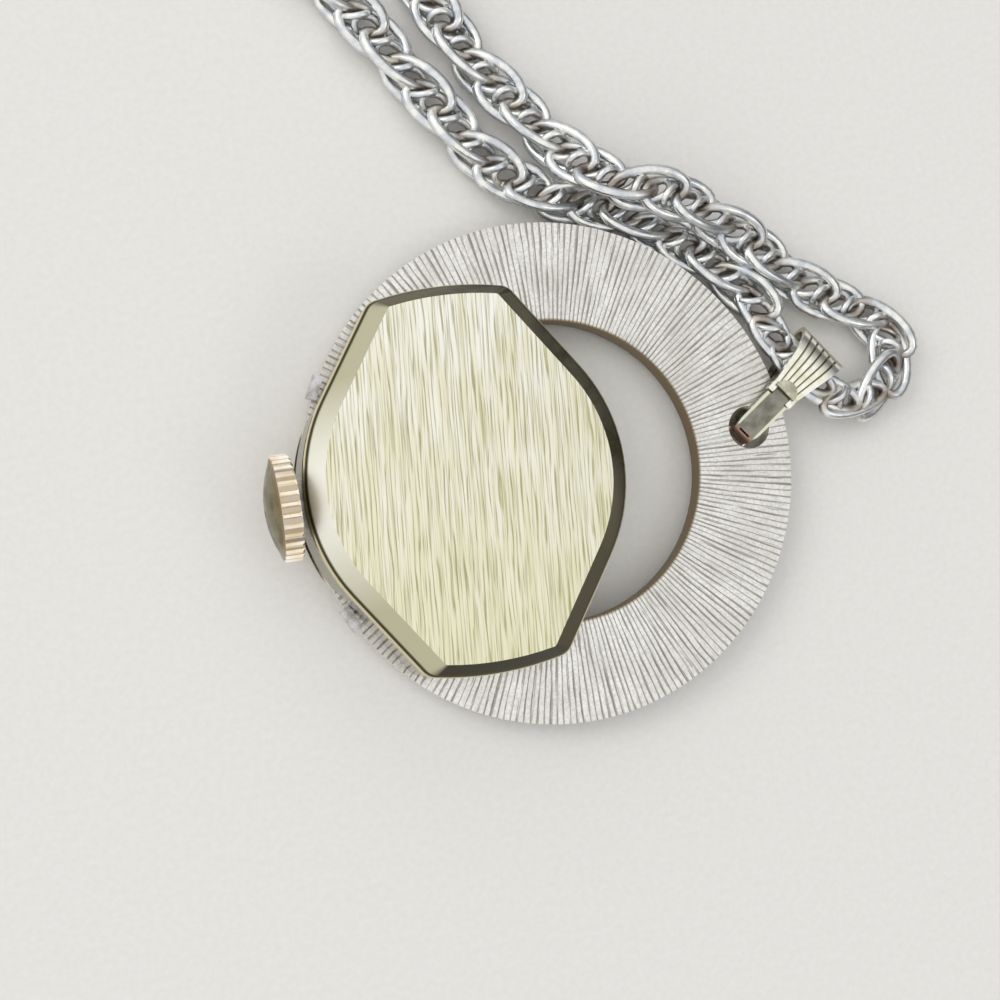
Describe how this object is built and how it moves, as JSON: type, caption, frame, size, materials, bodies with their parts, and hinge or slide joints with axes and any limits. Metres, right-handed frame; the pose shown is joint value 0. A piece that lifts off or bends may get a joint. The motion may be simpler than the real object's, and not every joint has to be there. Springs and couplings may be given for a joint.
{
  "type": "pendant watch",
  "caption": "Pendant watch: tonneau watch head in a flat ring plate, with a fluted crown, a snap bail with a hinged tongue, a rope chain and a spring ring clasp.",
  "frame": {"origin": "under the middle of the pendant's box, without the chain, on the plane of the crystal's face", "axes": "+Z from the dial side up through the case back, +X from the crown towards the bail, +Y along the long axis of the watch head"},
  "size_m": [0.0452, 0.0959, 0.0079],
  "materials": {
    "ring_silver": "fine radial lines, silver tone",
    "case_gold": "polished pale gold",
    "back_gold": "brushed pale yellow gold",
    "crown_gold": "fluted pinkish gold",
    "bail_gold": "fluted pale gold",
    "crystal_clear": "clear",
    "dial_silvered": "silvered satin",
    "marker_gold": "polished",
    "hand_dark": "black gloss",
    "gasket_rubber": "matt black",
    "holder_metal": "satin",
    "plate_nickel": "nickel plated, satin",
    "wheel_brass": "gilt",
    "steel_polished": "polished steel",
    "spring_blue": "blued steel",
    "jewel_ruby": "clear red",
    "chain_silver": "bright silver tone"
  },
  "bodies": {
    "pendant": {"ring_plate": "ring_silver", "ring_lug_upper": "ring_silver", "ring_lug_lower": "ring_silver", "case_body": "case_gold", "stem_tube": "case_gold", "back_gasket": "gasket_rubber", "bezel": "case_gold", "crystal": "crystal_clear", "dial_spacer": "holder_metal", "dial": "dial_silvered", "hour_markers": "marker_gold", "movement_holder": "holder_metal", "main_plate": "plate_nickel", "barrel_bridge": "plate_nickel", "train_bridge": "plate_nickel", "balance_cock": "plate_nickel", "pallet_cock": "plate_nickel", "jewels": "jewel_ruby", "bridge_screws": "steel_polished", "hairspring": "spring_blue", "crown_wheel_screw": "steel_polished", "chain_run": "chain_silver", "chain_coil": "chain_silver", "end_ring": "chain_silver", "jump_ring": "chain_silver", "clasp_body": "chain_silver"},
    "back_cover": {"case_back": "back_gold"},
    "stem_slider": {"stem_bush": "steel_polished"},
    "crown_and_stem": {"crown": "crown_gold", "winding_stem": "steel_polished"},
    "winding_pinion_body": {"winding_pinion": "steel_polished"},
    "crown_wheel_body": {"crown_wheel": "steel_polished"},
    "ratchet_body": {"ratchet_wheel": "steel_polished"},
    "centre_body": {"centre_wheel": "wheel_brass", "cannon_pinion": "steel_polished", "minute_hand": "hand_dark"},
    "hour_body": {"hour_wheel": "wheel_brass", "hour_hand": "hand_dark"},
    "minute_wheel_body": {"minute_wheel": "wheel_brass"},
    "barrel_body": {"mainspring_barrel": "wheel_brass"},
    "third_body": {"third_wheel": "wheel_brass"},
    "fourth_body": {"fourth_wheel": "wheel_brass"},
    "escape_body": {"escape_wheel": "steel_polished"},
    "pallet_body": {"pallet_fork": "steel_polished"},
    "balance_body": {"balance_wheel": "wheel_brass"},
    "bail": {"bail_shell": "bail_gold", "bail_pin": "steel_polished", "bail_tab": "bail_gold"},
    "tongue_body": {"tongue": "bail_gold"},
    "clasp_slide_body": {"clasp_slide": "chain_silver"}
  },
  "joints": [
    {"name": "case_back_lift", "type": "slide", "parent": "pendant", "child": "back_cover", "axis": [0, 0, 1], "range_m": [0, 0.006]},
    {"name": "crown_pull", "type": "slide", "parent": "pendant", "child": "stem_slider", "axis": [-1, 0, 0], "range_m": [0, 0.0005]},
    {"name": "crown_spin", "type": "hinge", "parent": "stem_slider", "child": "crown_and_stem", "pos_m": [-0.012, 0, 0.0045], "axis": [1, 0, 0], "continuous": true},
    {"name": "winding_pinion_spin", "type": "hinge", "parent": "pendant", "child": "winding_pinion_body", "pos_m": [-0.012, 0, 0.0045], "axis": [1, 0, 0], "continuous": true},
    {"name": "crown_wheel_spin", "type": "hinge", "parent": "pendant", "child": "crown_wheel_body", "pos_m": [-0.01092, 0, 0.006], "axis": [0, 0, 1], "continuous": true},
    {"name": "ratchet_spin", "type": "hinge", "parent": "pendant", "child": "ratchet_body", "pos_m": [-0.00703, -0.00407, 0.006], "axis": [0, 0, 1], "continuous": true},
    {"name": "centre_spin", "type": "hinge", "parent": "pendant", "child": "centre_body", "pos_m": [-0.00756, 0, 0.004], "axis": [0, 0, 1], "continuous": true},
    {"name": "hour_spin", "type": "hinge", "parent": "pendant", "child": "hour_body", "pos_m": [-0.00756, 0, 0.0027], "axis": [0, 0, 1], "continuous": true},
    {"name": "minute_wheel_spin", "type": "hinge", "parent": "pendant", "child": "minute_wheel_body", "pos_m": [-0.00756, 0.0024, 0.0027], "axis": [0, 0, 1], "continuous": true},
    {"name": "barrel_spin", "type": "hinge", "parent": "pendant", "child": "barrel_body", "pos_m": [-0.00703, -0.00407, 0.004], "axis": [0, 0, 1], "continuous": true},
    {"name": "third_spin", "type": "hinge", "parent": "pendant", "child": "third_body", "pos_m": [-0.00474, 0.0006, 0.004], "axis": [0, 0, 1], "continuous": true},
    {"name": "fourth_spin", "type": "hinge", "parent": "pendant", "child": "fourth_body", "pos_m": [-0.00446, 0.0033, 0.004], "axis": [0, 0, 1], "continuous": true},
    {"name": "escape_spin", "type": "hinge", "parent": "pendant", "child": "escape_body", "pos_m": [-0.00594, 0.00507, 0.004], "axis": [0, 0, 1], "continuous": true},
    {"name": "pallet_rock", "type": "hinge", "parent": "pendant", "child": "pallet_body", "pos_m": [-0.00735, 0.00612, 0.004], "axis": [0, 0, 1], "range_deg": [-5, 5]},
    {"name": "balance_swing", "type": "hinge", "parent": "pendant", "child": "balance_body", "pos_m": [-0.00906, 0.0053, 0.004], "axis": [0, 0, 1], "range_deg": [-135, 135], "stiffness_Nm_per_rad": 0.00000002},
    {"name": "bail_swing", "type": "hinge", "parent": "pendant", "child": "bail", "pos_m": [0.01249, 0.00092, 0.0016], "axis": [0, 0, 1], "range_deg": [-6, 6]},
    {"name": "tongue_open", "type": "hinge", "parent": "bail", "child": "tongue_body", "pos_m": [0.01472, 0.00261, 0.00305], "axis": [-0.6032, 0.7976, 0], "range_deg": [0, 65]},
    {"name": "clasp_slide_open", "type": "hinge", "parent": "pendant", "child": "clasp_slide_body", "pos_m": [0.01709, 0.04925, 0.00355], "axis": [0, 0, 1], "range_deg": [-66, 0], "stiffness_Nm_per_rad": 0.000002, "springref_deg": 20.05}
  ],
  "couplings": [
    {"joint": "winding_pinion_spin", "follows": "crown_spin", "ratio": 1},
    {"joint": "crown_wheel_spin", "follows": "crown_spin", "ratio": 0.6129},
    {"joint": "ratchet_spin", "follows": "crown_spin", "ratio": -0.43182},
    {"joint": "hour_spin", "follows": "centre_spin", "ratio": 0.083333},
    {"joint": "minute_wheel_spin", "follows": "centre_spin", "ratio": -0.33333},
    {"joint": "barrel_spin", "follows": "centre_spin", "ratio": -0.13889},
    {"joint": "third_spin", "follows": "centre_spin", "ratio": -8},
    {"joint": "fourth_spin", "follows": "centre_spin", "ratio": 60},
    {"joint": "escape_spin", "follows": "centre_spin", "ratio": -600}
  ]
}
